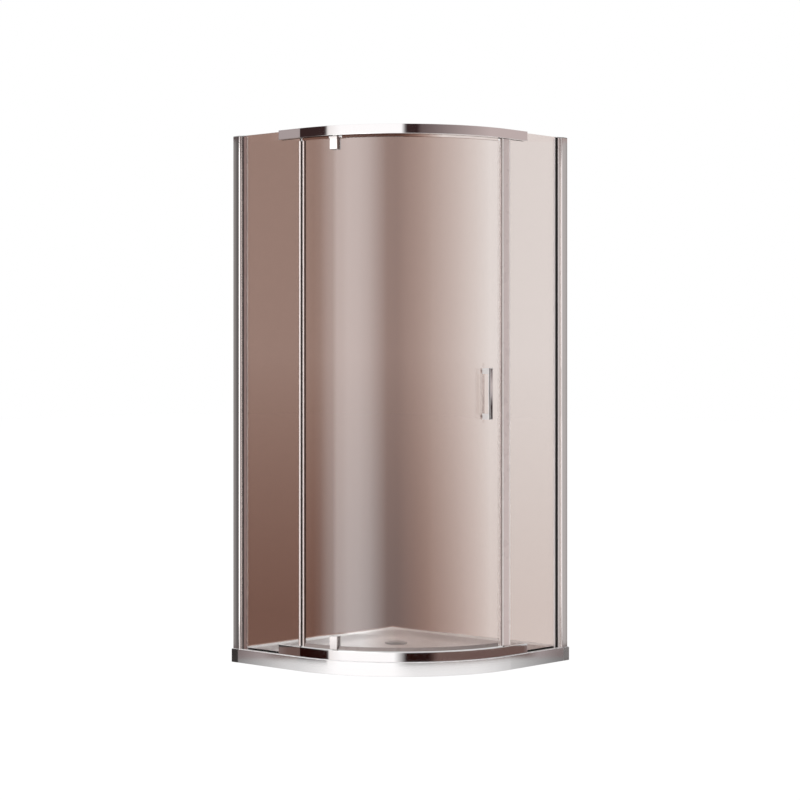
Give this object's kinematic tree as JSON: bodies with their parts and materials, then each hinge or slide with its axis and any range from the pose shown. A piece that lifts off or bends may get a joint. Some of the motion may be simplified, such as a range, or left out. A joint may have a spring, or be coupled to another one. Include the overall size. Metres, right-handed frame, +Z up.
{
  "type": "shower enclosure",
  "caption": "Corner quadrant shower enclosure: low tray with a metal skirt, flat tinted glass side panels, curved rails and a curved pivot door with a square pull.",
  "frame": {"origin": "the corner of the room at floor level, where the planes of the two walls meet the floor", "axes": "+Z up; the left panel runs along +X from the wall x = 0, and the right panel runs along -Y from the wall y = 0"},
  "size_m": [0.9134, 0.9006, 1.9795],
  "materials": {
    "tray_white": "gloss acrylic",
    "skirt_satin": "satin anodised",
    "cap_dark": "dark gunmetal gloss",
    "chrome": "bright chrome",
    "profile_polished": "polished anodised",
    "gasket_black": "black rubber",
    "clear_seal": "translucent grey vinyl",
    "packer_grey": "grey nylon",
    "bronze_glass": "tinted safety glass",
    "steel": "stainless steel",
    "bush_nylon": "white nylon",
    "waste_grey": "grey plastic"
  },
  "bodies": {
    "frame": {"adjusting_profile_left": "profile_polished", "adjusting_profile_right": "profile_polished", "bottom_packer_left": "packer_grey", "bottom_packer_right": "packer_grey", "bottom_pivot_bush": "bush_nylon", "bottom_rail": "chrome", "bottom_rail_cap_left": "chrome", "bottom_rail_cap_right": "chrome", "fixed_glass_left": "bronze_glass", "fixed_glass_right": "bronze_glass", "glazing_beads_left": "clear_seal", "glazing_beads_right": "clear_seal", "glazing_gasket_left": "gasket_black", "glazing_gasket_right": "gasket_black", "locking_screws_left": "steel", "locking_screws_right": "steel", "pane_seal_left": "clear_seal", "profile_cap_left": "packer_grey", "profile_cap_right": "packer_grey", "shower_tray": "tray_white", "sill_seal_left": "gasket_black", "sill_seal_right": "gasket_black", "skirt_cap_left": "cap_dark", "skirt_cap_right": "cap_dark", "stop_strip_long": "clear_seal", "stop_strip_short": "clear_seal", "strike_seal_right": "clear_seal", "top_packer_left": "packer_grey", "top_packer_right": "packer_grey", "top_pivot_bush": "bush_nylon", "top_rail": "chrome", "top_rail_cap_left": "chrome", "top_rail_cap_right": "chrome", "tray_skirt": "skirt_satin", "wall_channel_left": "profile_polished", "wall_channel_right": "profile_polished", "waste_body": "waste_grey", "waste_seal": "gasket_black"},
    "door": {"bottom_clamp_gaskets": "gasket_black", "bottom_clamp_inner": "chrome", "bottom_clamp_outer": "chrome", "bottom_clamp_screws": "steel", "bottom_pivot_pin": "steel", "door_glass": "bronze_glass", "door_magnet_seal": "clear_seal", "door_seal_left": "clear_seal", "door_sweep_long": "clear_seal", "door_sweep_short": "clear_seal", "handle_back_plate": "chrome", "handle_inner_pad": "clear_seal", "handle_outer_pads": "clear_seal", "handle_pull": "chrome", "handle_screws": "steel", "top_clamp_gaskets": "gasket_black", "top_clamp_inner": "chrome", "top_clamp_outer": "chrome", "top_clamp_screws": "steel", "top_pivot_pin": "steel"},
    "waste_cover": {"waste_cover": "chrome"}
  },
  "joints": [
    {"name": "door_swing", "type": "hinge", "parent": "frame", "child": "door", "pos_m": [0.49471, -0.85466, 1], "axis": [0, 0, -1], "range_deg": [0, 90]},
    {"name": "waste_cover_lift", "type": "slide", "parent": "frame", "child": "waste_cover", "axis": [0, 0, 1], "range_m": [0, 0.06]}
  ]
}
